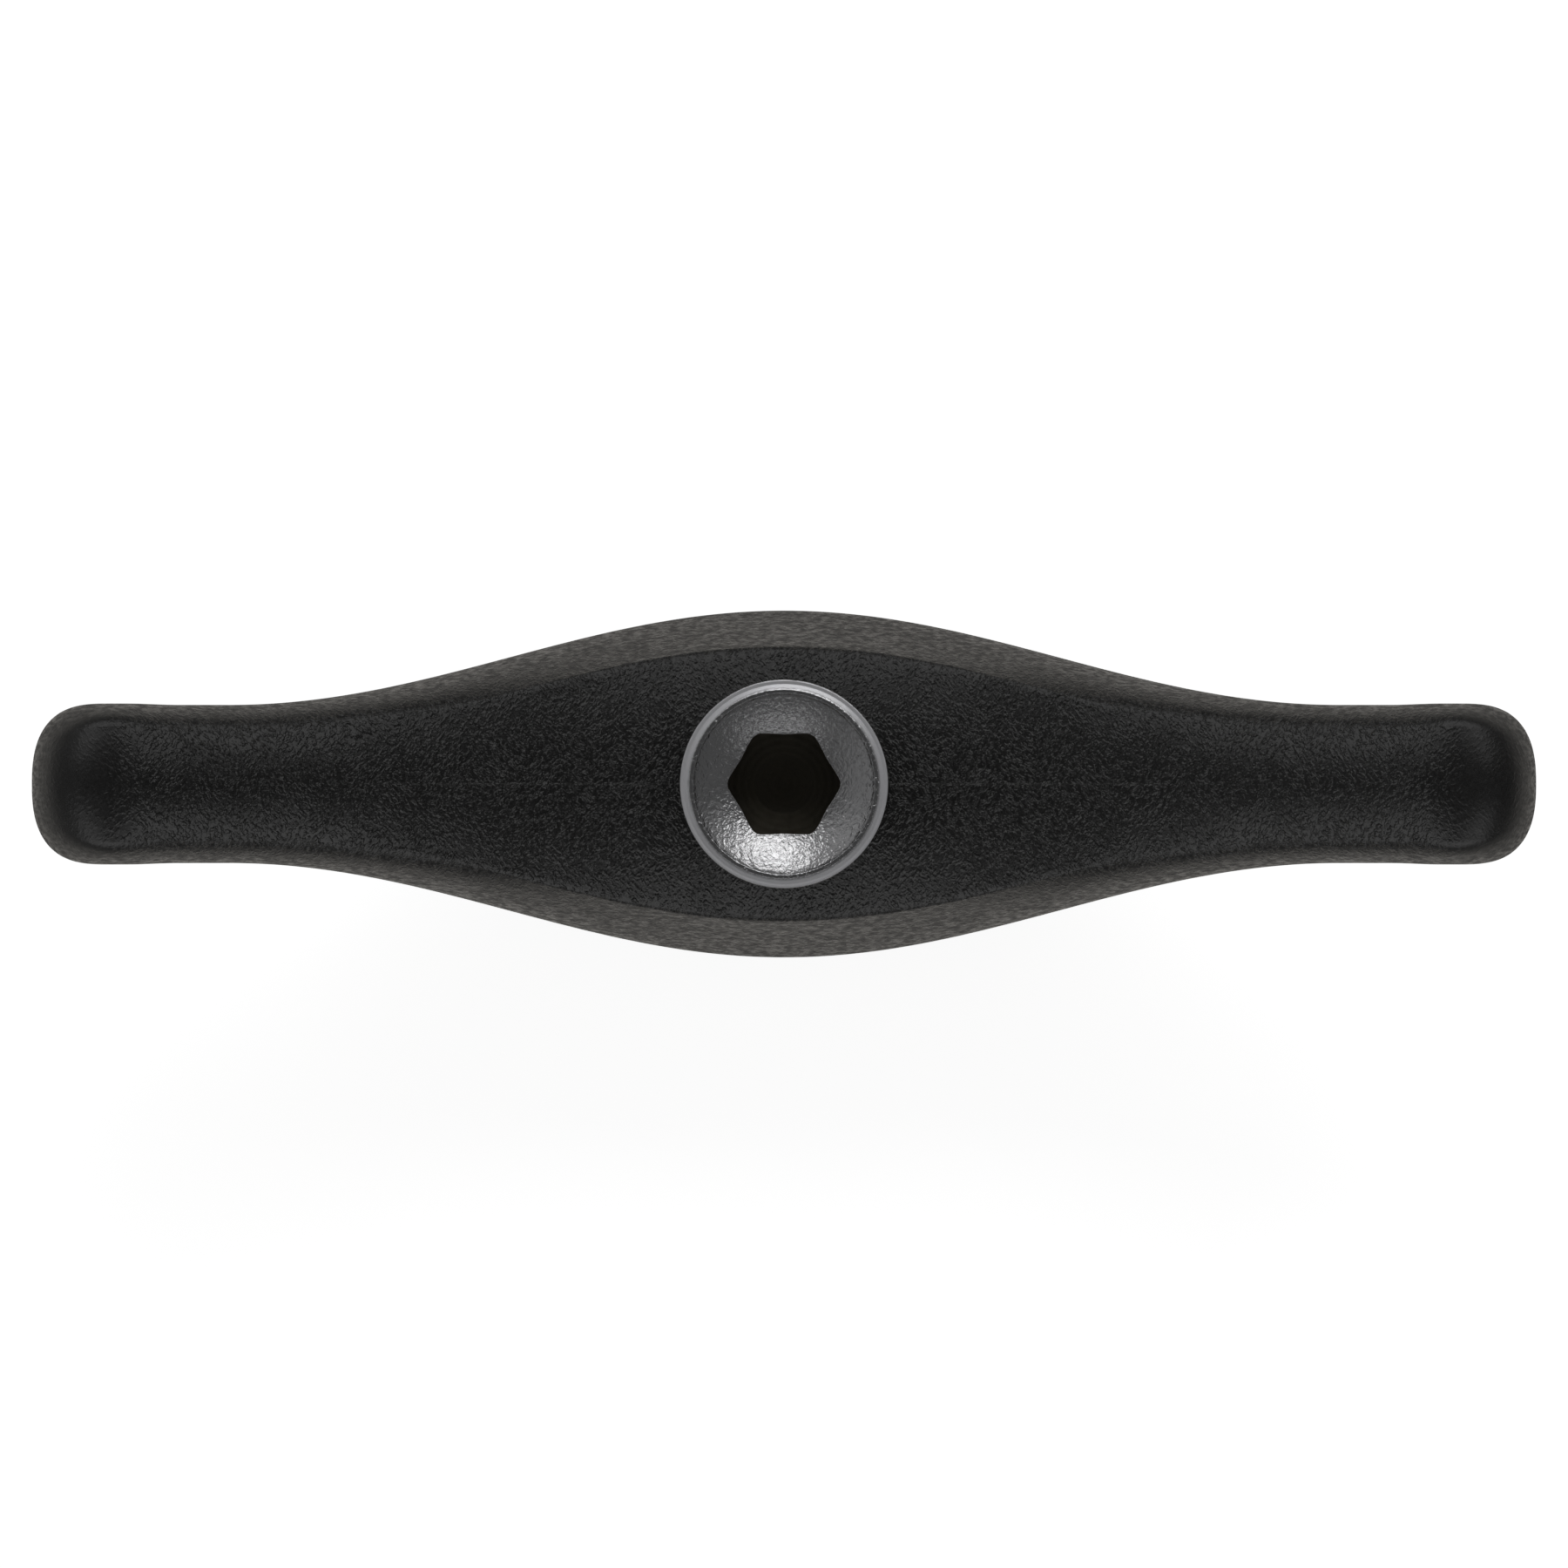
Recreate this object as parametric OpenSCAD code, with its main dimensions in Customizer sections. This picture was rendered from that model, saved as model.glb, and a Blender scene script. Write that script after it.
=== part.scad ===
// Wing nut for an M8 stud: a moulded plastic wing body on a steel core.
// The core carries the thread below and a 6 mm hexagon socket above.
// Millimetres. X runs along the wings, Z up the screw axis, and the origin is
// the centre of the bearing face that bears on the clamped work.

/* [Wing body] */
// Overall length, tip to tip
span = 89.3; // [84:0.1:94]
// Greatest width, at the hub
hub_w = 20.7; // [20:0.1:22]
// Width of each wing
wing_w = 9.4; // [8.4:0.1:10.4]
// Distance from the axis at which the hub has blended into the wing
hub_reach = 33; // [30:0.5:36]
// Height of the hub's top above the bearing face
hub_top = 18; // [17.5:0.1:18.5]
// Level that the wings' top edges climb to, above the bearing face
tip_top = 29.6; // [28:0.1:31]
// Depth of a wing at its tip
wing_depth = 12; // [11:0.1:13]

/* [Steel core] */
// Diameter of the core and of its boss
core_d = 12.4; // [12.2:0.1:12.6]
// Height of the boss's rim above the bearing face
boss_top = 19.7; // [19.5:0.1:20]
// Width across the flats of the hexagon socket
hex_af = 6; // [5:0.5:6]
// Core diameter of the M8 thread
thread_d = 6.8; // [6.6:0.1:7]
// Length of the threaded bore, from the bearing face
thread_l = 11.5; // [10:0.5:11.5]

/* [Hidden] */
$fn = 96;
half_span = span / 2;

// Plan view
flare = 0.08;            // the tips are this much wider on each side
flare_from = 36;         // where that widening starts
flare_over = 3;          // and the length it takes
round_from = 40;         // where the plan corners of a tip start
wing_band = 1.38;        // outline to top edge, on the wings
hub_band = 2.2;          // and at the hub
band_from = 33;          // where it starts to widen, towards the hub
band_over = 15;          // and the length it takes

// Side view
hub_flat = 7;            // half length of the level top around the boss
rise_power = 1.45;       // how the top edge steepens towards the tip
crest_from = 38.4;       // where the climb would meet the tip's level
crest_blend = 0.9;       // softness of that corner
cap_from = 39.5;         // where the rounded end of a tip starts
belly_z = 3.4;           // underside of the body beside the collar
belly_from = 11;         // where the wings' lower edge starts to climb
belly_blend = 1.6;       // softness of that corner
end_z = tip_top - wing_depth / 2 + 0.4; // height of a tip's foremost point

// Cross section
wing_crown = 0.8;        // how far the top face is domed, on the wings
wing_crown_from = 22;    // where it starts to reach that
wing_crown_over = 8;     // and the length it takes
neck_crown = 0.55;       // the dome where the hub runs into a wing
hub_crown = 1.45;        // and at the hub
hub_crown_to = 17;       // where it starts to reach that, towards the hub
hub_crown_over = 14;     // and the length it takes
tip_crown = 0.5;         // share of the dome that the tips lose
tip_crown_from = 37;     // from here
tip_crown_over = 3;      // over this length
wing_curve = 0.56;       // share of a flank's height that curves, on the wings
hub_curve = 0.92;        // and at the hub
curve_from = 30;         // where that share starts to grow, towards the hub
curve_over = 12;         // and the length it takes
crease_from = 27;        // where a crease starts along the top edge
crease_power = 1.5;      // how it sharpens towards the hub
under_r = 1.5;           // rounding of the lower edges
under_crown = 0.3;       // how far the wings' underside is domed

// Mesh of the wing body
body_steps = 24;         // sections from the middle to the start of a tip's end
cap_steps = 8;           // sections over a tip's rounded end
crown_steps = 5;         // points across half the top face
curve_steps = 7;         // points down a flank's curve
under_steps = 4;         // points round a lower edge
keel_steps = 3;          // points across half the underside

// Collar and core
collar_d = 16.4;         // round collar under the hub
collar_z = 0.6;          // the core stands this far out of the collar
collar_edge = 0.5;       // chamfer round its lower edge
collar_fillet = 0.8;     // fillet between the collar and the body
collar_root = 1.5;       // how far it reaches up into the body
ring_in = 0.27;          // boss's flat outer ring, measured in from its wall
ring_drop = 0.15;        // and its depth below the crest of the rim
wall_edge = 0.08;        // broken edge between that ring and the wall
crest_out = 0.62;        // outside of the rim's flat crest, in from the wall
crest_in = 0.77;         // inside of that crest
dish_in = 0.83;          // edge of the dish, in from the wall
dish_drop = 0.035;       // depth of that edge below the crest
dish_r = 9;              // spherical dish inside the rim
socket_floor = 13.2;     // height of the socket's floor
pilot_d = 3.5;           // pilot hole in the floor
pilot_l = 0.5;           // depth of the pilot hole
knurl_from = 5;          // the knurled band, from here
knurl_to = 13;           // to here
knurl_teeth = 30;        // ridges round the knurled band
knurl_depth = 0.45;      // depth of its grooves
groove_r = 5.3;          // retaining grooves above and below the knurl
groove_l = 1.8;          // length of a retaining groove
face_chamfer = 0.4;      // chamfer round the bearing face
mouth_chamfer = 0.8;     // countersink at the thread's mouth

function soft_min(a, b, k) = (a + b - sqrt(pow(a - b, 2) + k * k)) / 2;
function soft_max(a, b, k) = (a + b + sqrt(pow(a - b, 2) + k * k)) / 2;
function clamp01(t) = min(1, max(0, t));
function smooth(t) = clamp01(t) * clamp01(t) * (3 - 2 * clamp01(t));
function between(a, b, t) = a + (b - a) * smooth(t);

// 1 at the axis, falling to 0 where the wing is as narrow as it gets
function ramp(x) = abs(x) < hub_reach ? (1 + cos(180 * abs(x) / hub_reach)) / 2 : 0;

// Half width of the outline, before the tip's corners are rounded
function outline(x) = wing_w / 2 + (hub_w - wing_w) / 2 * ramp(x)
    + flare * smooth((abs(x) - flare_from) / flare_over);
function band(x) = between(wing_band, hub_band, (band_from - abs(x)) / band_over);
function crown(x) = (neck_crown
    + (hub_crown - neck_crown) * smooth((hub_crown_to - abs(x)) / hub_crown_over)
    + (wing_crown - neck_crown) * smooth((abs(x) - wing_crown_from) / wing_crown_over))
    * (1 - tip_crown * smooth((abs(x) - tip_crown_from) / tip_crown_over));
function curve(x) = between(wing_curve, hub_curve, (curve_from - abs(x)) / curve_over);
function crease(x) = pow(smooth((crease_from - abs(x)) / crease_from), crease_power);

// Heights of the top and of the underside on the middle plane
function climb(x) = hub_top + (tip_top - hub_top)
    * pow(max(0, abs(x) - hub_flat) / (crest_from - hub_flat), rise_power);
function top_z(x) = soft_min(climb(x), tip_top, crest_blend);
belly_slope = (tip_top - wing_depth - belly_z) / (cap_from - belly_from);
function under_z(x) = soft_max(belly_z, belly_z + belly_slope * (abs(x) - belly_from), belly_blend);

// How far a tip's end has closed, across and in height: 1 before it, 0 at the very end
function past(x, from) = clamp01((abs(x) - from) / (half_span - from));
function close_y(x) = pow(1 - pow(past(x, round_from), 3), 1 / 2.5);
function close_z(x) = pow(1 - pow(past(x, cap_from), 2.3), 1 / 2);

// Half a cross section, from the middle of the top to the middle of the underside.
// A flank curves from the top face's last slope to upright, and towards the hub it
// starts ever steeper, until it is flat and meets the top face in a crease.
function half_section(x) =
    let (w = outline(x), b = band(x), r = w - b, c = crown(x),
        dome = under_crown * (1 - ramp(x)),
        top = top_z(x) - c, under = under_z(x) + dome,
        fall = (top - under - under_r) * curve(x),
        lean = 2 * c / r, slope = lean + (fall / b - lean) * crease(x))
    concat(
        [for (i = [0 : crown_steps - 1]) let (s = i / crown_steps)
            [r * s, top + c * (1 - s * s)]],
        [for (i = [0 : curve_steps]) let (s = i / curve_steps)
            [r + b * (2 * s - s * s), top - 2 * s * (1 - s) * slope * b - s * s * fall]],
        [for (i = [0 : under_steps - 1]) let (a = 90 * i / under_steps)
            [w - under_r * (1 - cos(a)), under + under_r * (1 - sin(a))]],
        [for (i = [0 : keel_steps]) let (s = 1 - i / keel_steps)
            [(w - under_r) * s, under - dome * (1 - s * s)]]);

// A point of a section moved onto the ellipse of the same width and height, partly
// where t is under 1 and wholly where it is 1, so that a tip's end has no corners
function rounded(p, wide, high, t) =
    let (u = p[0] / wide, v = (p[1] - end_z) / high, d = max(0.001, norm([u, v])))
    [p[0] * (1 - t + t / d), end_z + (p[1] - end_z) * (1 - t + t / d)];

// The whole section as one ring of 3-D points, closed towards the tip's foremost point
function ring(x) =
    let (h = half_section(x), n = len(h), wide = outline(x), t = smooth(past(x, cap_from)),
        up = top_z(x) - end_z, down = end_z - under_z(x),
        q = [for (p = h) rounded(p, wide, p[1] > end_z ? up : down, t)],
        y = close_y(x) * wide / max([for (p = q) p[0]]), z = close_z(x),
        full = concat(q, [for (i = [n - 2 : -1 : 1]) [-q[i][0], q[i][1]]]))
    [for (p = full) [x, p[0] * y, end_z + (p[1] - end_z) * z]];

// Section places, closer together as the end rounds off
side_x = concat(
    [for (i = [1 : body_steps]) cap_from * i / body_steps],
    [for (i = [1 : cap_steps - 1]) cap_from + (half_span - cap_from) * sin(90 * i / cap_steps)]);
all_x = concat([for (i = [len(side_x) - 1 : -1 : 0]) -side_x[i]], [0], side_x);

module wing_solid() {
    rings = [for (x = all_x) ring(x)];
    n = len(rings[0]);
    m = len(rings);
    last = n * (m - 1);
    left_end = n * m;
    right_end = left_end + 1;
    points = concat([for (g = rings) each g], [[-half_span, 0, end_z], [half_span, 0, end_z]]);
    walls = [for (i = [0 : m - 2], j = [0 : n - 1])
        let (k = (j + 1) % n)
        let (a = i * n + j, b = i * n + k)
        each [[a, b, b + n], [a, b + n, a + n]]];
    ends = [for (j = [0 : n - 1])
        let (k = (j + 1) % n)
        each [[left_end, k, j], [right_end, last + j, last + k]]];
    polyhedron(points = points, faces = concat(walls, ends), convexity = 6);
}

// Round collar that carries the bearing end of the core
module collar() {
    r = collar_d / 2;
    top = under_z(r + collar_fillet);
    rotate_extrude()
        polygon(concat(
            [[0, collar_z], [r - collar_edge, collar_z], [r, collar_z + collar_edge]],
            [for (a = [0 : 15 : 90])
                [r + collar_fillet * (1 - cos(a)), top - collar_fillet * (1 - sin(a))]],
            [[r - collar_root, top + collar_root], [0, top + collar_root]]));
}

// The core's outside: plain ends, two retaining grooves and a knurled band
module core_outside() {
    r = core_d / 2;
    rotate_extrude()
        polygon([[0, 0], [r - face_chamfer, 0], [r, face_chamfer], [r, knurl_from - groove_l],
            [groove_r, knurl_from - groove_l], [groove_r, knurl_to + groove_l],
            [r, knurl_to + groove_l],
            [r, boss_top - ring_drop - wall_edge], [r - wall_edge, boss_top - ring_drop],
            [r - ring_in, boss_top - ring_drop], [r - crest_out, boss_top], [0, boss_top]]);
    translate([0, 0, knurl_from])
        linear_extrude(knurl_to - knurl_from)
            polygon([for (i = [0 : 2 * knurl_teeth - 1])
                let (a = 180 * i / knurl_teeth, q = r - (i % 2) * knurl_depth)
                [q * cos(a), q * sin(a)]]);
}

// Dish, hexagon socket, pilot hole and threaded bore
module core_hollows() {
    edge = core_d / 2 - dish_in;
    crest = core_d / 2 - crest_in;
    translate([0, 0, boss_top - dish_drop + sqrt(dish_r * dish_r - edge * edge)])
        intersection() {
            sphere(dish_r);
            translate([0, 0, -dish_r])
                cylinder(h = 2 * dish_r, r = edge);
        }
    translate([0, 0, boss_top - dish_drop])
        cylinder(h = 2 * dish_drop, r1 = edge, r2 = 2 * crest - edge);
    translate([0, 0, socket_floor])
        cylinder(h = boss_top - socket_floor, d = hex_af / cos(30), $fn = 6);
    translate([0, 0, socket_floor - pilot_l])
        cylinder(h = pilot_l + 1, d = pilot_d);
    rotate_extrude()
        polygon([[0, -1], [thread_d / 2 + mouth_chamfer, -1], [thread_d / 2 + mouth_chamfer, 0],
            [thread_d / 2, mouth_chamfer], [thread_d / 2, thread_l], [0, thread_l]]);
}

module wing_body() {
    color([0.10, 0.10, 0.10])
        difference() {
            union() {
                wing_solid();
                collar();
            }
            core_outside();
        }
}

module threaded_core() {
    color([0.72, 0.72, 0.73])
        difference() {
            core_outside();
            core_hollows();
        }
}

wing_body();
threaded_core();
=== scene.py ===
"""Wing nut with a moulded plastic body on a steel core, seen from straight above its screw axis.

Both CAD nodes are replaced by finer meshes of the same size: the moulding with its domed top,
creased edges and parting line, and the core with its dished boss, key socket and real thread.
"""
import math

import bpy
import numpy as np
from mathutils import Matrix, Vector


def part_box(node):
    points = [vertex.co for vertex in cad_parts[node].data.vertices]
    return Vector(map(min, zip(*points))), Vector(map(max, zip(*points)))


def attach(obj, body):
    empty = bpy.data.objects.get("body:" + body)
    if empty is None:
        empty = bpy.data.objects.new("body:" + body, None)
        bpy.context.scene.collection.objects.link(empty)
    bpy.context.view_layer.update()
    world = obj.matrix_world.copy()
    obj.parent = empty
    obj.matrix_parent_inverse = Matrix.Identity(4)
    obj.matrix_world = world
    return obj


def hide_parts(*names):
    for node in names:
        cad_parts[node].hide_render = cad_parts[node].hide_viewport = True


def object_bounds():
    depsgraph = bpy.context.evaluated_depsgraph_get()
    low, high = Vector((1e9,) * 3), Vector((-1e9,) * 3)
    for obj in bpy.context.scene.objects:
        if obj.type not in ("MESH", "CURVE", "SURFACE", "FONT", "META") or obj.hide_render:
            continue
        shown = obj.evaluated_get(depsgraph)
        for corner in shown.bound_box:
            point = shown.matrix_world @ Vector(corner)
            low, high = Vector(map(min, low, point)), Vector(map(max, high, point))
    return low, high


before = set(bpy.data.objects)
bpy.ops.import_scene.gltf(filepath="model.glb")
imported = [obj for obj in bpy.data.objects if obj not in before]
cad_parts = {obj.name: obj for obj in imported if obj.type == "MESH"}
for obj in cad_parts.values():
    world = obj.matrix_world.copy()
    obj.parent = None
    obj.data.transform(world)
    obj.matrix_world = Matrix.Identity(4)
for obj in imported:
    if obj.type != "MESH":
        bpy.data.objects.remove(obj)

MM = 0.001
cad_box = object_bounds()
body_lo, body_hi = (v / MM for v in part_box("wing_body"))
core_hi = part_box("threaded_core")[1] / MM

# ---------------------------------------------------------------- the moulding, in millimetres
# Distances named FROM, TO, REACH and FLAT are measured along X from the screw axis,
# and OVER is the length that a change takes.
HALF_SPAN = body_hi.x
HUB_HALF, WING_HALF, HUB_REACH = body_hi.y, 4.7, 33.0
FLARE, FLARE_FROM, FLARE_OVER = 0.08, 36.0, 3.0

# Side view: level round the boss, then a steepening climb to the tip, over a straight lower edge
HUB_TOP, HUB_FLAT, RISE_POWER = 18.0, 7.0, 1.45
TIP_TOP = body_hi.z + 0.2
CREST_FROM, CREST_BLEND = 38.4, 0.9
BELLY_Z, BELLY_FROM, BELLY_BLEND = 3.4, 11.0, 1.6
WING_DEPTH, NOSE_LIFT = 12.0, 0.4
END_Z = TIP_TOP - WING_DEPTH / 2 + NOSE_LIFT

# A tip's end closes in height from CAP_FROM, and across from ROUND_FROM
CAP_FROM, CAP_POWER, CAP_ROOT = 39.5, 2.3, 0.5
ROUND_FROM, ROUND_POWER, ROUND_ROOT = 40.0, 3.0, 0.4

# Cross section: outline to top edge, dome of the top face, share of a flank that curves
BAND, HUB_BAND, BAND_FROM, BAND_OVER = 1.38, 2.2, 33.0, 15.0
CROWN, CROWN_FROM, CROWN_OVER = 0.8, 22.0, 8.0
NECK_CROWN = 0.55
HUB_CROWN, HUB_CROWN_TO, HUB_CROWN_OVER = 1.45, 17.0, 14.0
TIP_CROWN_LOSS, TIP_CROWN_FROM, TIP_CROWN_OVER = 0.5, 37.0, 3.0
FLANK_CURVE, HUB_CURVE, CURVE_FROM, CURVE_OVER = 0.56, 0.92, 30.0, 12.0
CREASE_FROM, CREASE_POWER = 27.0, 1.5
UNDER_R, UNDER_CROWN = 1.5, 0.3

# The top edge rounds over from SOFT_IN before the ridge to the share SOFT_T of the flank's curve
SOFT_IN, SOFT_T = 0.5, 0.015

# The parting line's flash: places of its points beside the middle, and its height
FLASH_Y = np.array([0, 0.035, 0.075, 0.13])
FLASH_H, FLASH_TO, FLASH_OVER = 0.025, 32.0, 14.0

# Mesh steps along the body, and round each stretch of its cross section
BODY_STEPS, CAP_STEPS = 150, 34
CROWN_STEPS, SOFT_STEPS, CURVE_STEPS, FLANK_STEPS, UNDER_STEPS, KEEL_STEPS = 22, 8, 20, 8, 8, 14

COLLAR_R, COLLAR_Z, COLLAR_EDGE = 8.2, body_lo.z, 0.5
COLLAR_FILLET, COLLAR_ROOT, COLLAR_ROUND = 0.8, 1.5, 192
HOLE_GAP, HOLE_ROUND = 0.01, 256
BODY_SHARP = 35

# ---------------------------------------------------------------- the core, in millimetres
CORE_R, BOSS_TOP = core_hi.x, core_hi.z
HEX_AF, HEX_BOW, HEX_CORNER, HEX_BLEND = 5.96, 0.05, 3.33, 0.05
SOCKET_FLOOR, SOCKET_ROUND, SOCKET_TAPER = 13.2, 0.1, 0.02
PILOT_R, PILOT_DEPTH, PILOT_CONE = 1.75, 0.5, 0.35

# The dish rolls up a little at its edge, where the rim's narrow crest starts
DISH_R, DISH_EDGE, ROLL_FROM, ROLL_RISE = 9.0, 5.37, 5.25, 0.035
CREST_IN, CREST_OUT, RIM_DROP = 5.43, 5.58, 0.035

# Outside the crest: a shoulder falls, then a ring rises a little to the wall's broken edge
SHOULDER_R, SHOULDER_TILT, SHOULDER_TO = 0.2, 27, 5.93
BEVEL_R, BEVEL_TILT, BEVEL_TO = 0.05, -11, 6.12
WALL_EDGE_FALL = 1.4

KNURL_FROM, KNURL_TO, KNURL_TEETH, KNURL_DEPTH = 5.0, 13.0, 30, 0.45
GROOVE_R, GROOVE_L = 5.3, 1.8
FACE_CHAMFER, MOUTH_CHAMFER = 0.4, 0.8
THREAD_R, THREAD_L, THREAD_PITCH, THREAD_H = 3.4, 11.5, 1.25, 0.6
THREAD_END, THREAD_FADE, THREAD_CONE = 0.6, 1.2, 0.5
THREAD_SLOPE, THREAD_CREST = 0.75, 0.875
CORE_SHARP = 40
CORE_ROUND = 360
ANGLE = np.linspace(0, 2 * math.pi, CORE_ROUND, endpoint=False)
BLASTED, SCALE, TURNED = 0, 1, 2

# ---------------------------------------------------------------- stage, in metres
STAGE_R, STAGE_SIDES, STAGE_GLOW = 4.2, 96, 0.9
FLOOR_GAP = 0.02 * MM
LIGHT_DISTANCE = 0.6
LENS, SENSOR = 1200, 36
FRAME_FILL = 0.95944  # share of the frame's width that the nut's length takes

# The world's strength is a sum of ramps along its axes: axis, start, end, value at each
WORLD_GLOW = [
    ("Z", -0.55, -0.12, 0.52, 0.085),
    ("Z", 0.8, 0.95, 0.0, -0.03),
    ("X", -0.9, -0.6, 0.11, 0.0),
]
WORLD_TINT, TINT_FROM, TINT_TO = (1, 0.96, 0.9, 1), -0.1, -0.5
WHITE = (1, 1, 1, 1)


# ---------------------------------------------------------------- formulas
def smooth(t):
    t = np.clip(t, 0, 1)
    return t * t * (3 - 2 * t)


def between(a, b, t):
    return a + (b - a) * smooth(t)


def soft_min(a, b, k):
    return (a + b - np.sqrt((a - b) ** 2 + k * k)) / 2


def soft_max(a, b, k):
    return (a + b + np.sqrt((a - b) ** 2 + k * k)) / 2


def points(first, second):
    return np.stack([first, second], axis=1)


def arc(cr, cz, radius, a0, a1, steps):
    """Points (r, z) round an arc's centre, angles in degrees from +r towards +z."""
    a = np.radians(np.linspace(a0, a1, steps + 1))
    return [(cr + radius * math.cos(t), cz + radius * math.sin(t)) for t in a]


# ---------------------------------------------------------------- mesh tools
def closed_tube(name, rings, start, end, flip=False):
    """A closed mesh through equal rings of points, in millimetres, with a point at each end."""
    m, n, _ = rings.shape
    places = np.concatenate([rings.reshape(-1, 3), [start, end]]) * MM
    i, j = np.meshgrid(np.arange(m - 1), np.arange(n), indexing="ij")
    k = (j + 1) % n
    quads = np.stack([i * n + j, i * n + k, (i + 1) * n + k, (i + 1) * n + j], axis=-1).reshape(-1, 4)
    j = np.arange(n)
    k = (j + 1) % n
    first = np.stack([np.full(n, m * n), k, j], axis=1)
    last = np.stack([np.full(n, m * n + 1), (m - 1) * n + j, (m - 1) * n + k], axis=1)
    faces = quads.tolist() + first.tolist() + last.tolist()
    if flip:
        faces = [f[::-1] for f in faces]
    mesh = bpy.data.meshes.new(name)
    mesh.from_pydata(places.tolist(), [], faces)
    mesh.update()
    thing = bpy.data.objects.new(name, mesh)
    bpy.context.scene.collection.objects.link(thing)
    return thing


def revolved(name, profile, count):
    """A closed solid turned about Z from (r, z) points that run from axis to axis."""
    a = np.linspace(0, 2 * math.pi, count, endpoint=False)
    r, z = np.array(profile[1:-1]).T
    heights = np.repeat(z[:, None], count, axis=1)
    rings = np.stack([np.outer(r, np.cos(a)), np.outer(r, np.sin(a)), heights], axis=-1)
    return closed_tube(name, rings, (0, 0, profile[0][1]), (0, 0, profile[-1][1]))


def combine(thing, other, how):
    """Applies a boolean of other to thing, and deletes other."""
    step = thing.modifiers.new(how, "BOOLEAN")
    step.operation = how
    step.object = other
    step.solver = "EXACT"
    bpy.context.view_layer.update()
    graph = bpy.context.evaluated_depsgraph_get()
    mesh = bpy.data.meshes.new_from_object(thing.evaluated_get(graph), depsgraph=graph)
    thing.modifiers.clear()
    old = thing.data
    thing.data = mesh
    bpy.data.meshes.remove(old)
    bpy.data.objects.remove(other)


def shade(thing, angle):
    """Smooth shading, with edges sharper than an angle in degrees kept crisp."""
    thing.data.shade_smooth()
    thing.data.set_sharp_from_angle(angle=math.radians(angle))


# ---------------------------------------------------------------- the moulding
def ramp(x):
    """1 at the axis, falling to 0 where the hub has blended into the wing."""
    return np.where(abs(x) < HUB_REACH, (1 + np.cos(math.pi * x / HUB_REACH)) / 2, 0)


def half_width(x):
    return WING_HALF + (HUB_HALF - WING_HALF) * ramp(x) + FLARE * smooth((abs(x) - FLARE_FROM) / FLARE_OVER)


def top_z(x):
    along = np.maximum(0, abs(x) - HUB_FLAT) / (CREST_FROM - HUB_FLAT)
    return soft_min(HUB_TOP + (TIP_TOP - HUB_TOP) * along**RISE_POWER, TIP_TOP, CREST_BLEND)


def under_z(x):
    slope = (TIP_TOP - WING_DEPTH - BELLY_Z) / (CAP_FROM - BELLY_FROM)
    return soft_max(BELLY_Z, BELLY_Z + slope * (abs(x) - BELLY_FROM), BELLY_BLEND)


def dome(x):
    """How far the top face is domed: most at the hub, least at the neck, and fading at the tips."""
    crown = between(NECK_CROWN, HUB_CROWN, (HUB_CROWN_TO - abs(x)) / HUB_CROWN_OVER)
    crown += (CROWN - NECK_CROWN) * smooth((abs(x) - CROWN_FROM) / CROWN_OVER)
    return crown * (1 - TIP_CROWN_LOSS * smooth((abs(x) - TIP_CROWN_FROM) / TIP_CROWN_OVER))


def past(x, start):
    return float(np.clip((abs(x) - start) / (HALF_SPAN - start), 0, 1))


def top_face(ridge, top, crown):
    """The domed top, with extra points beside the middle for the parting line."""
    y = np.concatenate([FLASH_Y, np.linspace(FLASH_Y[-1], ridge - SOFT_IN, CROWN_STEPS + 1)[1:]])
    return points(y, top + crown * (1 - (y / ridge) ** 2))


def upper_flank(x, ridge, band, top, crown, fall):
    """Curves from the top face's last slope to upright. Towards the hub it starts ever
    steeper, until it is flat and meets the top face in a crease."""
    slope = 2 * crown / ridge
    slope += (fall / band - slope) * smooth((CREASE_FROM - abs(x)) / CREASE_FROM) ** CREASE_POWER
    t = np.concatenate([[SOFT_T], np.linspace(0, 1, CURVE_STEPS + 1)[1:]])
    return points(ridge + band * (2 * t - t**2), top - 2 * t * (1 - t) * slope * band - t**2 * fall)


def rounded_over(first, corner, last):
    """Rounds a corner between two points, and leaves out the first of them."""
    t = np.linspace(0, 1, SOFT_STEPS + 1)[1:, None]
    return (1 - t) ** 2 * first + 2 * t * (1 - t) * np.array(corner) + t**2 * last


def lower_half(wide, wall_top, under, belly):
    """The upright wall, the rounded lower edge and the underside."""
    t = np.linspace(0, 1, FLANK_STEPS + 1)[1:]
    wall = points(np.full(len(t), wide), wall_top * (1 - t) + (under + UNDER_R) * t)
    a = np.linspace(0, math.pi / 2, UNDER_STEPS + 1)[1:]
    edge = points(wide - UNDER_R * (1 - np.cos(a)), under + UNDER_R * (1 - np.sin(a)))
    keel = wide - UNDER_R
    y = np.concatenate([np.linspace(keel, FLASH_Y[-1], KEEL_STEPS + 1)[1:], FLASH_Y[-2::-1]])
    underside = points(y, under - belly * (1 - (y / keel) ** 2))
    return np.concatenate([wall, edge, underside])


def half_section(x):
    """Half width, and points (y, z) from the middle of the top to the middle of the underside."""
    wide = half_width(x)
    band = between(BAND, HUB_BAND, (BAND_FROM - abs(x)) / BAND_OVER)
    ridge = wide - band
    crown = dome(x)
    belly = UNDER_CROWN * (1 - ramp(x))
    top = top_z(x) - crown
    under = under_z(x) + belly
    curved = between(FLANK_CURVE, HUB_CURVE, (CURVE_FROM - abs(x)) / CURVE_OVER)
    fall = (top - under - UNDER_R) * curved
    face = top_face(ridge, top, crown)
    flank = upper_flank(x, ridge, band, top, crown, fall)
    soft = rounded_over(face[-1], (ridge, top), flank[0])
    lower = lower_half(wide, top - fall, under, belly)
    return wide, np.concatenate([face, soft, flank[1:], lower])


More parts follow.
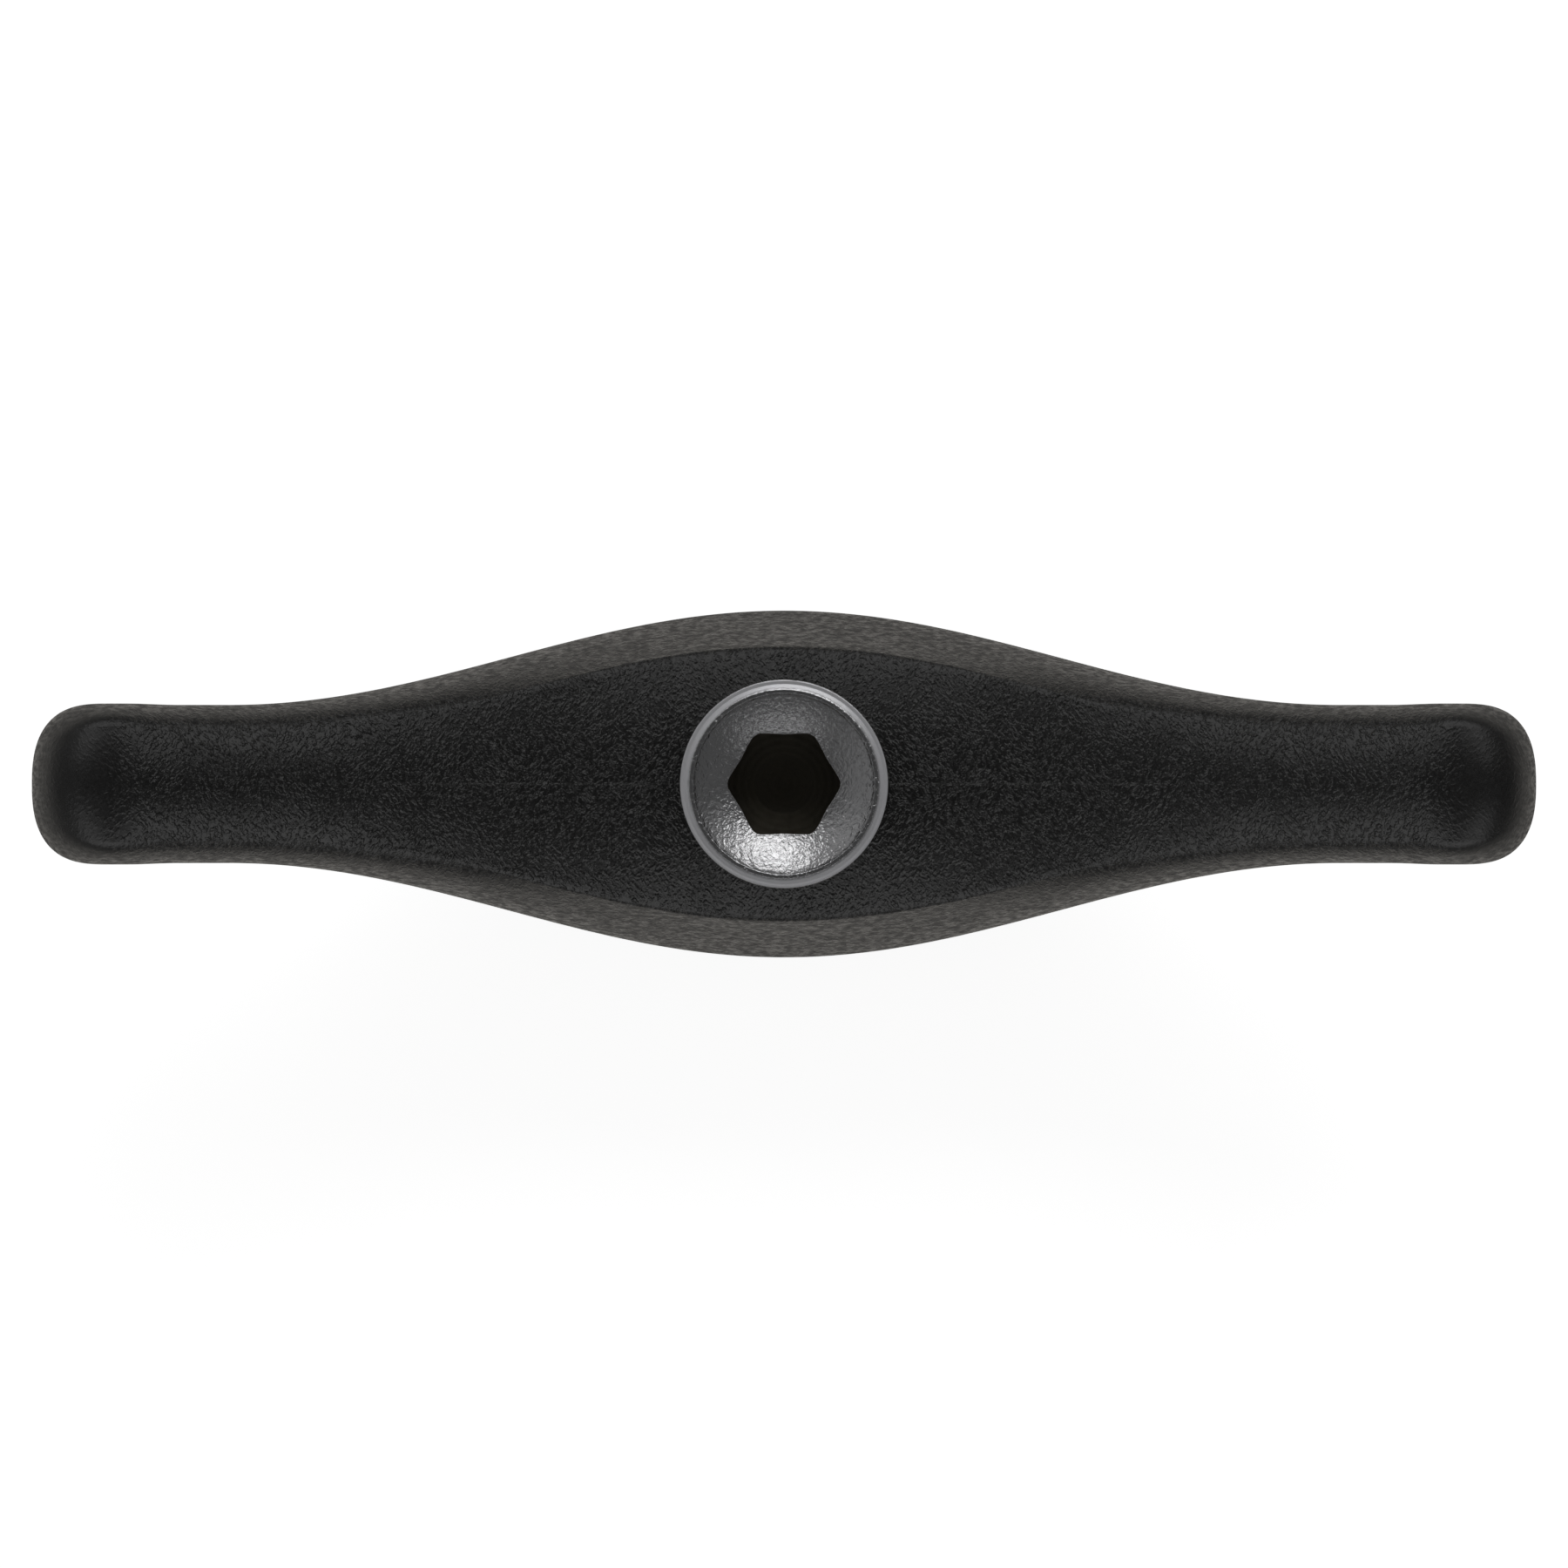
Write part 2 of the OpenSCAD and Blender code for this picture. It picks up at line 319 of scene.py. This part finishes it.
def flash_height(x):
    """Height of the parting line's flash, a little uneven along it."""
    uneven = 0.65 + 0.35 * math.sin(2.1 * x) * math.sin(0.83 * x + 1)
    return FLASH_H * uneven * float(smooth((FLASH_TO - abs(x)) / FLASH_OVER))


def ring(x):
    """The whole cross section at one x, closed towards the tip's foremost point."""
    wide, half = half_section(x)
    u = past(x, CAP_FROM)
    close_y = (1 - past(x, ROUND_FROM) ** ROUND_POWER) ** ROUND_ROOT
    close_z = (1 - u**CAP_POWER) ** CAP_ROOT
    section = np.concatenate([half, half[-2:0:-1] * [-1, 1]])
    # Towards the end, each point moves onto the ellipse of the same width and height
    high = np.where(section[:, 1] > END_Z, top_z(x) - END_Z, END_Z - under_z(x))
    d = np.maximum(0.001, np.hypot(section[:, 0] / wide, (section[:, 1] - END_Z) / high))
    t = smooth(u)
    pull = 1 - t + t / d
    y = section[:, 0] * pull
    y *= close_y * wide / y.max()
    z = END_Z + (section[:, 1] - END_Z) * pull * close_z
    n, last = len(section), len(half) - 1
    flash = flash_height(x) * close_z
    for at, way in ((0, 1), (last, -1)):
        z[at] += way * flash
        for side in (at - 1, at + 1):
            z[side % n] += way * flash / 2
    return np.stack([np.full(n, x), y, z], axis=1)


def make_collar():
    top = float(under_z(COLLAR_R + COLLAR_FILLET))
    foot = COLLAR_R - COLLAR_EDGE
    return revolved(
        "collar",
        [(0, COLLAR_Z), (foot, COLLAR_Z)]
        + arc(foot, COLLAR_Z + COLLAR_EDGE, COLLAR_EDGE, -80, 0, 8)
        + arc(COLLAR_R + COLLAR_FILLET, top - COLLAR_FILLET, COLLAR_FILLET, 180, 90, 10)
        + [(COLLAR_R - COLLAR_ROOT, top + COLLAR_ROOT), (0, top + COLLAR_ROOT)],
        COLLAR_ROUND,
    )


def make_hole():
    """The place of the core, longer than the body at both ends."""
    r, below, above = CORE_R + HOLE_GAP, -1, 25
    return revolved("hole", [(0, below), (r, below), (r, above), (0, above)], HOLE_ROUND)


def make_body():
    inner = np.linspace(0, CAP_FROM, BODY_STEPS + 1)
    outer = CAP_FROM + (HALF_SPAN - CAP_FROM) * np.sin(np.linspace(0, math.pi / 2, CAP_STEPS + 1)[1:-1])
    side = np.concatenate([inner, outer])
    xs = np.concatenate([-side[:0:-1], side])
    rings = np.stack([ring(x) for x in xs])
    body = closed_tube("moulded_wings", rings, (-HALF_SPAN, 0, END_Z), (HALF_SPAN, 0, END_Z))
    combine(body, make_collar(), "UNION")
    combine(body, make_hole(), "DIFFERENCE")
    shade(body, BODY_SHARP)
    return body


# ---------------------------------------------------------------- the core
def hexagon():
    """Distance from the axis to the broached hexagon: corners on X, rounded, and flats bowed in."""
    a = np.mod(ANGLE, math.pi / 3) - math.pi / 6
    bow = HEX_BOW * np.cos(np.clip(a * 4.5, -math.pi / 2, math.pi / 2)) ** 2
    return soft_min(HEX_AF / 2 / np.cos(a) - bow, HEX_CORNER, HEX_BLEND)


def dish(r):
    """Height of the dish at a distance from the axis."""
    centre = BOSS_TOP - RIM_DROP - ROLL_RISE + math.sqrt(DISH_R**2 - DISH_EDGE**2)
    roll = np.maximum(0, (r - ROLL_FROM) / (DISH_EDGE - ROLL_FROM)) ** 2
    return centre - np.sqrt(DISH_R**2 - r**2) + ROLL_RISE * roll


class Turning:
    """Rows of points round the core: up the socket, over the rim, down the outside, up the bore."""

    def __init__(self):
        self.radii = []
        self.heights = []
        self.slots = []

    def add(self, r, z, slot=BLASTED):
        self.radii.append(r * np.ones(CORE_ROUND))
        self.heights.append(z * np.ones(CORE_ROUND))
        self.slots.append(slot)

    def rings(self):
        r = np.array(self.radii)
        return np.stack([r * np.cos(ANGLE), r * np.sin(ANGLE), np.array(self.heights)], axis=-1)


def turn_socket(turning):
    """Pilot hole, hexagon socket, its rounded mouth, and the dish."""
    hexa = hexagon()
    pilot_z = SOCKET_FLOOR - PILOT_DEPTH
    for t in (0.15, 0.5, 0.85):
        turning.add(PILOT_R * t, pilot_z - PILOT_CONE * (1 - t), SCALE)
    for t in np.linspace(0, 1, 4):
        turning.add(PILOT_R, SOCKET_FLOOR - PILOT_DEPTH * (1 - t), SCALE)
    for t in np.linspace(0, 1, 8)[1:]:
        turning.add(PILOT_R * (1 - t) + (hexa - SOCKET_TAPER) * t, SOCKET_FLOOR, SCALE)
    start = hexa + SOCKET_ROUND
    mouth_z = dish(start)
    for t in np.linspace(0, 1, 12):
        turning.add(hexa, SOCKET_FLOOR * (1 - t) + (mouth_z - SOCKET_ROUND) * t, SCALE)
    for a in np.radians(np.linspace(15, 90, 6)):
        turning.add(hexa + SOCKET_ROUND * (1 - math.cos(a)), mouth_z - SOCKET_ROUND * (1 - math.sin(a)))
    for t in np.linspace(0, 1, 34)[1:]:
        r = start * (1 - t) + DISH_EDGE * t
        turning.add(r, dish(r))


def turn_rim(turning):
    """The crest, then an arc and a straight for the shoulder and for the ring, and a broken edge."""
    for t in (0.25, 0.5, 0.75, 1):
        turning.add(DISH_EDGE + (CREST_IN - DISH_EDGE) * t, BOSS_TOP - RIM_DROP * (1 - t) ** 2)
    r, z, tilt = CREST_OUT, BOSS_TOP, 0
    turning.add(r, z)
    for bend, to_tilt, to_r in (
        (SHOULDER_R, SHOULDER_TILT, SHOULDER_TO),
        (-BEVEL_R, BEVEL_TILT, BEVEL_TO),
    ):
        a0 = math.radians(tilt)
        for a in np.radians(np.linspace(tilt, to_tilt, 6)[1:]):
            arc_r = r + bend * (math.sin(a) - math.sin(a0))
            arc_z = z - bend * (math.cos(a0) - math.cos(a))
            turning.add(arc_r, arc_z)
        fall = (to_r - arc_r) * math.tan(math.radians(to_tilt))
        turning.add((arc_r + to_r) / 2, arc_z - fall / 2)
        r, z, tilt = to_r, arc_z - fall, to_tilt
        turning.add(r, z)
    corner = CORE_R - r
    for t in np.linspace(0, 1, 5)[1:]:
        turning.add(r + corner * math.sin(t * math.pi / 2), z - WALL_EDGE_FALL * corner * t * t)


def turn_outside(turning):
    """Plain wall, retaining grooves and knurl, hidden in the plastic, and the bearing face."""
    low, high = KNURL_FROM - GROOVE_L, KNURL_TO + GROOVE_L
    for r, z in ((CORE_R, high + 1), (CORE_R, high), (GROOVE_R, high), (GROOVE_R, KNURL_TO)):
        turning.add(r, z)
    tooth = CORE_R - KNURL_DEPTH * abs(np.mod(ANGLE * KNURL_TEETH / (2 * math.pi), 1) - 0.5) * 2
    for z in (KNURL_TO, KNURL_FROM):
        turning.add(tooth, z)
    for r, z in ((GROOVE_R, KNURL_FROM), (GROOVE_R, low), (CORE_R, low), (CORE_R, FACE_CHAMFER)):
        turning.add(r, z)
    for r in np.linspace(CORE_R - FACE_CHAMFER, THREAD_R + MOUTH_CHAMFER, 6):
        turning.add(r, 0, TURNED)


def turn_thread(turning):
    """The bore, with the thread as a helix cut into it that runs out before the bore's end."""
    for z in np.linspace(0, THREAD_L, 140)[1:]:
        along = np.mod(z / THREAD_PITCH - ANGLE / (2 * math.pi), 1)
        depth = np.clip((THREAD_CREST - 2 * abs(along - 0.5)) / THREAD_SLOPE, 0, 1)
        fade = smooth((THREAD_L - THREAD_END - z) / THREAD_FADE)
        r = THREAD_R + THREAD_H * depth * fade
        turning.add(np.maximum(r, THREAD_R + MOUTH_CHAMFER - z), z, TURNED)
    for t in (0.7, 0.4, 0.15):
        turning.add(THREAD_R * t, THREAD_L + THREAD_CONE * (1 - t), TURNED)


def make_core():
    turning = Turning()
    turn_socket(turning)
    turn_rim(turning)
    turn_outside(turning)
    turn_thread(turning)
    start = (0, 0, SOCKET_FLOOR - PILOT_DEPTH - PILOT_CONE)
    end = (0, 0, THREAD_L + THREAD_CONE)
    core = closed_tube("turned_core", turning.rings(), start, end, flip=True)
    slots = turning.slots
    by_face = np.repeat(slots[:-1] + [slots[0], slots[-1]], CORE_ROUND).astype(np.int32)
    core.data.polygons.foreach_set("material_index", by_face)
    shade(core, CORE_SHARP)
    return core


# ---------------------------------------------------------------- materials
def new_material(name):
    material = bpy.data.materials.new(name)
    material.use_nodes = True
    nodes = material.node_tree.nodes
    nodes.clear()
    out = nodes.new("ShaderNodeOutputMaterial")
    shader = nodes.new("ShaderNodeBsdfPrincipled")
    material.node_tree.links.new(shader.outputs["BSDF"], out.inputs["Surface"])
    return material, shader


class Nodes:
    """Short ways to add and join a material's nodes. Coordinates are in millimetres."""

    def __init__(self, material):
        self.tree = material.node_tree
        place = self.tree.nodes.new("ShaderNodeTexCoord")
        scale = self.tree.nodes.new("ShaderNodeVectorMath")
        scale.operation = "SCALE"
        scale.inputs["Scale"].default_value = 1 / MM
        self.link(place.outputs["Object"], scale.inputs[0])
        self.mm = scale.outputs["Vector"]

    def link(self, a, b):
        self.tree.links.new(a, b)

    def put(self, value, socket):
        """Sets a socket to a number or a colour, or links it to another node's output."""
        if isinstance(value, (int, float)):
            socket.default_value = value
        elif isinstance(value, tuple):
            socket.default_value = (*value, 1)
        else:
            self.link(value, socket)

    def noise(self, scale, detail=2.0, rough=0.5, distort=0.0, vector=None):
        n = self.tree.nodes.new("ShaderNodeTexNoise")
        n.inputs["Scale"].default_value = scale
        n.inputs["Detail"].default_value = detail
        n.inputs["Roughness"].default_value = rough
        n.inputs["Distortion"].default_value = distort
        self.link(vector or self.mm, n.inputs["Vector"])
        return n.outputs["Fac"]

    def stretched(self, turn, scale):
        """Coordinates turned about Z by some degrees, then scaled along each axis."""
        n = self.tree.nodes.new("ShaderNodeMapping")
        n.vector_type = "TEXTURE"
        n.inputs["Rotation"].default_value = (0, 0, math.radians(turn))
        n.inputs["Scale"].default_value = [1 / v for v in scale]
        self.link(self.mm, n.inputs["Vector"])
        return n.outputs["Vector"]

    def axes(self, vector=None):
        n = self.tree.nodes.new("ShaderNodeSeparateXYZ")
        self.link(vector or self.mm, n.inputs[0])
        return n.outputs

    def radius(self):
        """Distance from the screw axis."""
        x, y, _ = self.axes()
        return self.math("SQRT", self.math("ADD", self.math("MULTIPLY", x, x), self.math("MULTIPLY", y, y)))

    def normal_z(self):
        n = self.tree.nodes.new("ShaderNodeTexCoord")
        return self.axes(n.outputs["Normal"])["Z"]

    def math(self, what, a, b=None, c=None):
        n = self.tree.nodes.new("ShaderNodeMath")
        n.operation = what
        for socket, value in zip(n.inputs, (a, b, c)):
            if value is not None:
                self.put(value, socket)
        return n.outputs[0]

    def spread(self, value, lo, hi, to_lo, to_hi):
        """Maps a range of values onto another one, and clamps what lies outside."""
        n = self.tree.nodes.new("ShaderNodeMapRange")
        for name, v in (("From Min", lo), ("From Max", hi), ("To Min", to_lo), ("To Max", to_hi)):
            n.inputs[name].default_value = v
        self.link(value, n.inputs["Value"])
        return n.outputs["Result"]

    def mixed(self, factor, a, b, kind="FLOAT"):
        n = self.tree.nodes.new("ShaderNodeMix")
        n.data_type = kind
        for name, value in (("Factor", factor), ("A", a), ("B", b)):
            self.put(value, n.inputs[name])
        return n.outputs["Result"]

    def colours(self, factor, below, above):
        return self.mixed(factor, below, above, "RGBA")

    def bump(self, height, distance):
        n = self.tree.nodes.new("ShaderNodeBump")
        n.inputs["Distance"].default_value = distance * MM
        n.inputs["Strength"].default_value = 1.0
        self.link(height, n.inputs["Height"])
        return n.outputs["Normal"]


def leaning_strokes(n):
    """Short strokes that lean one way or the other in patches."""
    scale = (3.0, 5.2, 3.4)
    left = n.noise(1, 1.5, 0.5, 0.3, n.stretched(55, scale))
    right = n.noise(1, 1.5, 0.5, 0.3, n.stretched(-50, scale))
    patches = n.spread(n.noise(0.3, 1.0, 0.5), 0.42, 0.58, 0.0, 1.0)
    return n.spread(n.mixed(patches, left, right), 0.45, 0.72, 0.0, 1.0)


def flash_highlight_share(n):
    """Painted highlight along the parting line's flash: pale specks, fading out along the wings."""
    x, y, _ = n.axes()
    line = n.spread(n.math("ABSOLUTE", y), 0.02, 0.06, 1.0, 0.0)
    specks = n.spread(n.noise(1.6, 3.0, 0.7), 0.45, 0.7, 0.1, 1.0)
    inward = n.spread(n.math("ABSOLUTE", x), 18.0, 30.0, 1.0, 0.0)
    return n.math("MULTIPLY", n.math("MULTIPLY", line, specks), inward)


def moulded_plastic():
    """Black glass-filled polyamide: spark-eroded grain, streaky flanks with a painted sheen, smooth tips,
    parting line.
    """
    material, shader = new_material("moulded_plastic")
    n = Nodes(material)
    strokes = leaning_strokes(n)
    fine = n.noise(8.0, 2.0, 0.5)
    sides = n.spread(n.math("ABSOLUTE", n.normal_z()), 0.1, 0.7, 1.0, 0.0)
    mottle = n.noise(1, 3.0, 0.6, 0.0, n.stretched(0, (2.0, 4.0, 1.6)))
    streaks = n.spread(mottle, 0.38, 0.62, 0.0, 1.0)

    # Grain, smoothed away at the tips
    grain = n.math("MULTIPLY_ADD", fine, 0.25, strokes)
    grained = n.spread(n.math("ABSOLUTE", n.axes()["X"]), 37.5, 40.5, 1.0, 0.2)
    n.link(n.bump(n.math("MULTIPLY", grain, grained), 0.055), shader.inputs["Normal"])

    # Colour: nearly black on top, lighter on the grain strokes as a painted glint; the steep flanks are
    # coloured a lighter, mottled grey-brown, a painted sheen for the grazing light they catch
    cloud = n.noise(0.12, 3.0, 0.6)
    # A random cloudy tone plus a painted glint: the top colour is lighter on the grain strokes
    tone_and_glint = n.math("MULTIPLY_ADD", cloud, 0.5, n.math("MULTIPLY", strokes, 0.5))
    top = n.colours(tone_and_glint, (0.003, 0.0029, 0.0028), (0.008, 0.0079, 0.0077))
    # Painted sheen: the flanks' lighter colour stands in for the light they catch at a grazing angle
    flank = n.colours(streaks, (0.012, 0.0116, 0.011), (0.018, 0.0174, 0.0165))
    plain = n.colours(sides, top, flank)
    # Painted highlight: the moulded flash on the parting line is coloured pale
    colour = n.colours(flash_highlight_share(n), plain, (0.022, 0.022, 0.021))
    n.link(colour, shader.inputs["Base Color"])

    # Gloss: satin on top, a little duller at the tips, and uneven on the flanks
    smoother = n.spread(fine, 0.3, 0.7, 0.24, 0.36)
    satin = n.math("MULTIPLY_ADD", n.spread(grained, 0.2, 1.0, 1.0, 0.0), 0.08, smoother)
    uneven = n.spread(streaks, 0.0, 1.0, 0.66, 0.32)
    n.link(n.mixed(sides, satin, uneven), shader.inputs["Roughness"])
    shader.inputs["IOR"].default_value = 1.46
    return material


def blasted_steel():
    """Turned steel, blasted to a wrinkled satin in the dish, with a dull outer ring whose near-white colour
    is a painted reflection.
    """
    material, shader = new_material("blasted_steel")
    n = Nodes(material)
    upward = n.spread(n.normal_z(), 0.4, 0.8, 0.0, 1.0)
    matt_ring_with_sheen = n.math("MULTIPLY", upward, n.spread(n.radius(), 5.6, 5.76, 0.0, 1.0))
    wrinkles = n.noise(3.6, 2.0, 0.5, 0.6)
    fine = n.noise(9.0, 2.0, 0.6)
    height = n.math("MULTIPLY_ADD", fine, 0.3, wrinkles)
    n.link(n.bump(n.math("MULTIPLY", height, n.spread(matt_ring_with_sheen, 0, 1, 1, 0.15)), 0.06), shader.inputs["Normal"])
    satin = n.colours(n.noise(0.5, 3.0, 0.6), (0.54, 0.54, 0.55), (0.64, 0.64, 0.65))
    # Painted reflection: the ring's up-facing part is coloured near white, and it is also made rougher and
    # less metallic
    n.link(n.colours(matt_ring_with_sheen, satin, (0.92, 0.92, 0.95)), shader.inputs["Base Color"])
    n.link(n.spread(matt_ring_with_sheen, 0, 1, 1.0, 0.3), shader.inputs["Metallic"])
    n.link(n.mixed(matt_ring_with_sheen, n.spread(fine, 0.3, 0.7, 0.16, 0.27), 0.36), shader.inputs["Roughness"])
    return material


def socket_scale():
    """The socket's unblasted inside, which keeps its dark scale and drill rings."""
    material, shader = new_material("socket_scale")
    n = Nodes(material)
    shader.inputs["Metallic"].default_value = 0.3
    rings = n.math("SINE", n.math("MULTIPLY", n.radius(), 14.0))
    n.link(n.bump(n.math("MULTIPLY_ADD", rings, 0.5, n.noise(5.0, 2.0, 0.5)), 0.01), shader.inputs["Normal"])
    cloud = n.noise(1.5, 2.0, 0.5)
    n.link(n.colours(cloud, (0.1, 0.09, 0.068), (0.22, 0.2, 0.16)), shader.inputs["Base Color"])
    n.link(n.spread(cloud, 0.3, 0.7, 0.4, 0.6), shader.inputs["Roughness"])
    return material


def turned_steel():
    """The machined lower end: turning rings on the bearing face and a cut thread."""
    material, shader = new_material("turned_steel")
    n = Nodes(material)
    shader.inputs["Metallic"].default_value = 1.0
    rings = n.math("SINE", n.math("MULTIPLY", n.radius(), 70.0))
    fine = n.noise(8.0, 2.0, 0.5)
    n.link(n.bump(n.math("MULTIPLY_ADD", rings, 0.4, fine), 0.004), shader.inputs["Normal"])
    n.link(n.colours(fine, (0.5, 0.5, 0.51), (0.62, 0.62, 0.63)), shader.inputs["Base Color"])
    n.link(n.spread(fine, 0.3, 0.7, 0.25, 0.4), shader.inputs["Roughness"])
    return material


def pale_stage():
    """The floor, which glows a little so that it stays pale under the dark studio."""
    material, shader = new_material("pale_stage")
    n = Nodes(material)
    cloud = n.noise(0.004, 2.0, 0.5)
    n.link(n.colours(cloud, (0.86, 0.86, 0.86), (0.9, 0.9, 0.9)), shader.inputs["Base Color"])
    shader.inputs["Roughness"].default_value = 0.8
    shader.inputs["Emission Color"].default_value = WHITE
    shader.inputs["Emission Strength"].default_value = STAGE_GLOW
    return material


# ---------------------------------------------------------------- stage, light and camera
def make_floor():
    """A round pale floor, just clear of the bearing face. Glossy parts mirror the world instead."""
    a = np.linspace(0, 2 * math.pi, STAGE_SIDES, endpoint=False)
    z = cad_box[0].z - FLOOR_GAP
    mesh = bpy.data.meshes.new("pale_floor")
    rim = [(STAGE_R * math.cos(t), STAGE_R * math.sin(t), z) for t in a]
    mesh.from_pydata(rim, [], [list(range(STAGE_SIDES))])
    mesh.materials.append(pale_stage())
    floor = bpy.data.objects.new("pale_floor", mesh)
    floor.visible_glossy = False
    bpy.context.scene.collection.objects.link(floor)
    return floor


def softbox(name, azimuth, elevation, width, height, radiance, lit):
    """A soft area light facing the nut. Azimuth is from +X towards +Y."""
    light = bpy.data.lights.new(name, "AREA")
    light.shape = "RECTANGLE"
    light.size, light.size_y = width, height
    light.energy = radiance * math.pi * width * height
    thing = bpy.data.objects.new(name, light)
    a, e = math.radians(azimuth), math.radians(elevation)
    out = Vector((math.cos(a) * math.cos(e), math.sin(a) * math.cos(e), math.sin(e)))
    thing.location = out * LIGHT_DISTANCE
    thing.rotation_mode = "QUATERNION"
    thing.rotation_quaternion = out.to_track_quat("Z", "Y")
    thing.visible_camera = False
    bpy.context.scene.collection.objects.link(thing)
    receivers = bpy.data.collections.new(name + "_lights")
    for piece in lit:
        receivers.objects.link(piece)
    thing.light_linking.receiver_collection = receivers


def world_strength(tree, direction):
    """The sum of the ramps in WORLD_GLOW."""
    total = None
    for axis, start, end, low, high in WORLD_GLOW:
        glow = tree.nodes.new("ShaderNodeMapRange")
        glow.interpolation_type = "SMOOTHSTEP"
        for name, v in (("From Min", start), ("From Max", end), ("To Min", low), ("To Max", high)):
            glow.inputs[name].default_value = v
        tree.links.new(direction[axis], glow.inputs["Value"])
        if total is None:
            total = glow.outputs["Result"]
            continue
        add = tree.nodes.new("ShaderNodeMath")
        tree.links.new(total, add.inputs[0])
        tree.links.new(glow.outputs["Result"], add.inputs[1])
        total = add.outputs[0]
    return total


def world_colour(tree, direction):
    """White above the horizon and slightly warm below it."""
    below = tree.nodes.new("ShaderNodeMapRange")
    below.inputs["From Min"].default_value = TINT_FROM
    below.inputs["From Max"].default_value = TINT_TO
    tree.links.new(direction["Z"], below.inputs["Value"])
    tint = tree.nodes.new("ShaderNodeMix")
    tint.data_type = "RGBA"
    tint.inputs["A"].default_value = WHITE
    tint.inputs["B"].default_value = WORLD_TINT
    tree.links.new(below.outputs["Result"], tint.inputs["Factor"])
    return tint.outputs["Result"]


def make_world():
    """A studio that is dark overhead and paler below, behind which the camera sees a pale backdrop."""
    world = bpy.data.worlds.new("studio")
    world.use_nodes = True
    tree = world.node_tree
    studio = tree.nodes["Background"]
    place = tree.nodes.new("ShaderNodeTexCoord")
    split = tree.nodes.new("ShaderNodeSeparateXYZ")
    tree.links.new(place.outputs["Generated"], split.inputs[0])
    tree.links.new(world_strength(tree, split.outputs), studio.inputs["Strength"])
    tree.links.new(world_colour(tree, split.outputs), studio.inputs["Color"])
    backdrop = tree.nodes.new("ShaderNodeBackground")
    backdrop.inputs["Color"].default_value = WHITE
    ray = tree.nodes.new("ShaderNodeLightPath")
    mix = tree.nodes.new("ShaderNodeMixShader")
    tree.links.new(ray.outputs["Is Camera Ray"], mix.inputs[0])
    tree.links.new(studio.outputs["Background"], mix.inputs[1])
    tree.links.new(backdrop.outputs["Background"], mix.inputs[2])
    tree.links.new(mix.outputs["Shader"], tree.nodes["World Output"].inputs["Surface"])
    bpy.context.scene.world = world


def make_camera():
    """Straight above, with +X to the right and the whole length in the frame."""
    across = (cad_box[1].x - cad_box[0].x) / FRAME_FILL
    camera = bpy.data.cameras.new("camera")
    camera.lens, camera.sensor_width = LENS, SENSOR
    camera.clip_start, camera.clip_end = 0.05, 20
    thing = bpy.data.objects.new("camera", camera)
    thing.location = (0, 0, END_Z * MM + across * LENS / SENSOR)
    bpy.context.scene.collection.objects.link(thing)
    bpy.context.scene.camera = thing


# ---------------------------------------------------------------- the scene
body = make_body()
body.data.materials.clear()
body.data.materials.append(moulded_plastic())
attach(body, "root")
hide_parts("wing_body")

core = make_core()
for material in (blasted_steel(), socket_scale(), turned_steel()):
    core.data.materials.append(material)
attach(core, "root")
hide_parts("threaded_core")

make_world()
floor = make_floor()

# The core and floor are lit mainly from +Y, and the body alike from both sides
softbox("key", 80, 39, 0.48, 0.31, 1.5, (core, floor))
softbox("key_glow", 90, 34, 1.7, 0.5, 0.17, (core,))
softbox("fill", -86, 48, 0.6, 0.14, 0.4, (core,))
softbox("body_key", 90, 39, 1.6, 0.48, 1.25, (body,))
softbox("body_fill", -90, 39, 1.6, 0.48, 1.27, (body,))
make_camera()
bpy.context.scene.view_settings.view_transform = "Standard"
